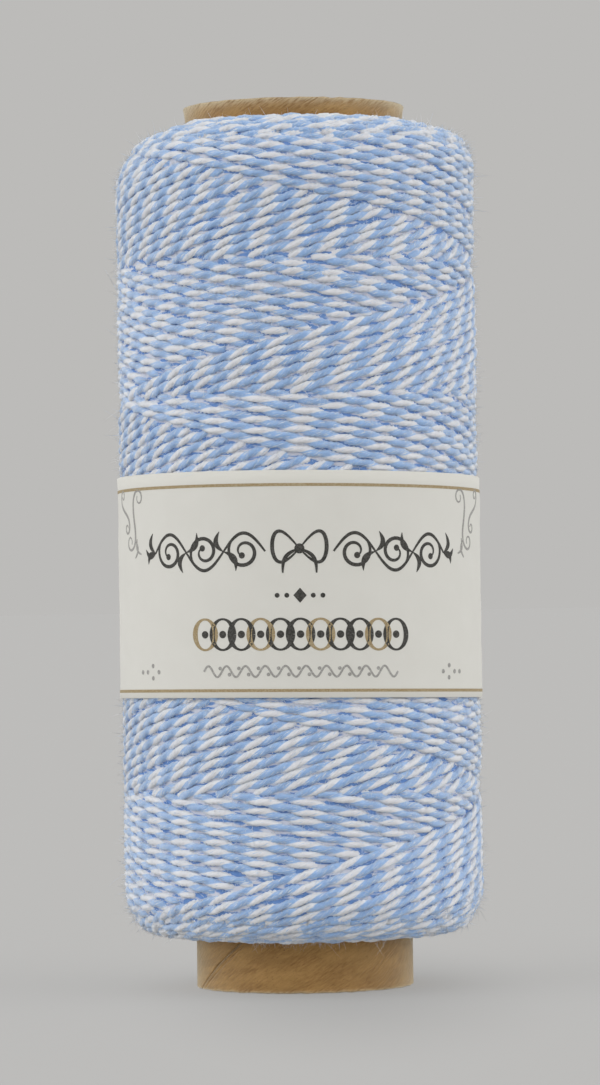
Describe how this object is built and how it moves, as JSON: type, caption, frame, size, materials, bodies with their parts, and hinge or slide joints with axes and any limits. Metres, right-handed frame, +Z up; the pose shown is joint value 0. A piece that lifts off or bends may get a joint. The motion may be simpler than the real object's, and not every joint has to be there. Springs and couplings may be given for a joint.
{
  "type": "spool of bakers twine",
  "caption": "Two-colour cotton twine cross-wound on a kraft paper tube, rounded at both ends and held by a paper band around its middle.",
  "frame": {"origin": "centre of the tube's lower end, on the surface that the spool stands on", "axes": "+Z up along the tube's axis; -Y is the front, where the printed side of the band faces; +X is to the viewer's right"},
  "size_m": [0.0428, 0.043, 0.1033],
  "materials": {
    "kraft_tube": "matte kraft paper, spiral wound",
    "twine": "soft two-ply cotton, one ply blue and one white",
    "band_paper": "smooth uncoated cream paper, printed"
  },
  "bodies": {
    "root": {"core_tube": "kraft_tube", "twine_winding": "twine", "label_band": "band_paper"}
  },
  "joints": []
}
